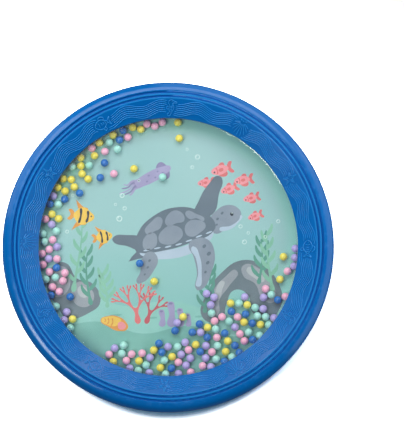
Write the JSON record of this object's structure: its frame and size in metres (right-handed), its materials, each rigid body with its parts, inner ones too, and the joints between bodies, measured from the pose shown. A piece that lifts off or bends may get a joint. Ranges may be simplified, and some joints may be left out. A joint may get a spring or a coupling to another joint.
{
  "type": "ocean drum",
  "caption": "Toy ocean drum: two moulded rims clamp a clear skin and a printed skin over a ring, and shut in loose coloured beads that swirl, hop and roll between them.",
  "frame": {"origin": "centre of the rear rim's resting face", "axes": "+Z along the drum's axis, out of the clear skin; +Y to the top of the picture; +X to its right"},
  "size_m": [0.25, 0.25, 0.034],
  "materials": {
    "rim_plastic": "glossy moulding",
    "ring_plastic": "satin moulding",
    "clear_film": "clear film",
    "printed_film": "printed film",
    "hoop_plastic": "as moulded",
    "screw_steel": "zinc plated",
    "bead_yellow": "polished",
    "bead_pink": "polished",
    "bead_mint": "polished",
    "bead_lilac": "polished",
    "bead_blue": "polished"
  },
  "bodies": {
    "drum": {"front_rim": "rim_plastic", "rear_rim": "rim_plastic", "shell_ring": "ring_plastic", "clear_skin": "clear_film", "clear_skin_hoop": "hoop_plastic", "picture_skin": "printed_film", "picture_skin_hoop": "hoop_plastic", "rim_screws": "screw_steel"},
    "centre_bead": {"roving_bead_blue": "bead_blue"},
    "yellow_beads": {"beads_yellow": "bead_yellow"},
    "pink_beads": {"beads_pink": "bead_pink"},
    "mint_beads": {"beads_mint": "bead_mint"},
    "lilac_beads": {"beads_lilac": "bead_lilac"},
    "blue_beads": {"beads_blue": "bead_blue"},
    "yellow_roving_bead": {"roving_bead_yellow": "bead_yellow"},
    "mint_roving_bead": {"roving_bead_mint": "bead_mint"},
    "pink_roving_bead": {"roving_bead_pink": "bead_pink"},
    "yellow_upper_roving_bead": {"roving_bead_yellow_upper": "bead_yellow"},
    "yellow_top_roving_bead": {"roving_bead_yellow_top": "bead_yellow"}
  },
  "joints": [
    {"name": "bead_swirl", "type": "hinge", "parent": "drum", "child": "centre_bead", "pos_m": [0, 0, 0.01415], "axis": [0, 0, 1], "continuous": true},
    {"name": "yellow_beads_hop", "type": "slide", "parent": "centre_bead", "child": "yellow_beads", "axis": [0, 0, 1], "range_m": [0, 0.0055]},
    {"name": "pink_beads_hop", "type": "slide", "parent": "centre_bead", "child": "pink_beads", "axis": [0, 0, 1], "range_m": [0, 0.0055]},
    {"name": "mint_beads_hop", "type": "slide", "parent": "centre_bead", "child": "mint_beads", "axis": [0, 0, 1], "range_m": [0, 0.0055]},
    {"name": "lilac_beads_hop", "type": "slide", "parent": "centre_bead", "child": "lilac_beads", "axis": [0, 0, 1], "range_m": [0, 0.0055]},
    {"name": "blue_beads_hop", "type": "slide", "parent": "centre_bead", "child": "blue_beads", "axis": [0, 0, 1], "range_m": [0, 0.0055]},
    {"name": "yellow_bead_roll", "type": "slide", "parent": "centre_bead", "child": "yellow_roving_bead", "axis": [1, 0, 0], "range_m": [-0.05, 0.075]},
    {"name": "mint_bead_roll", "type": "slide", "parent": "centre_bead", "child": "mint_roving_bead", "axis": [0, -1, 0], "range_m": [-0.02, 0.06]},
    {"name": "pink_bead_roll", "type": "slide", "parent": "centre_bead", "child": "pink_roving_bead", "axis": [0.1736, -0.9848, 0], "range_m": [-0.005, 0.055]},
    {"name": "yellow_upper_bead_roll", "type": "slide", "parent": "centre_bead", "child": "yellow_upper_roving_bead", "axis": [0.1736, -0.9848, 0], "range_m": [-0.012, 0.055]},
    {"name": "yellow_top_bead_roll", "type": "slide", "parent": "centre_bead", "child": "yellow_top_roving_bead", "axis": [0.5736, -0.8192, 0], "range_m": [-0.006, 0.1]}
  ]
}
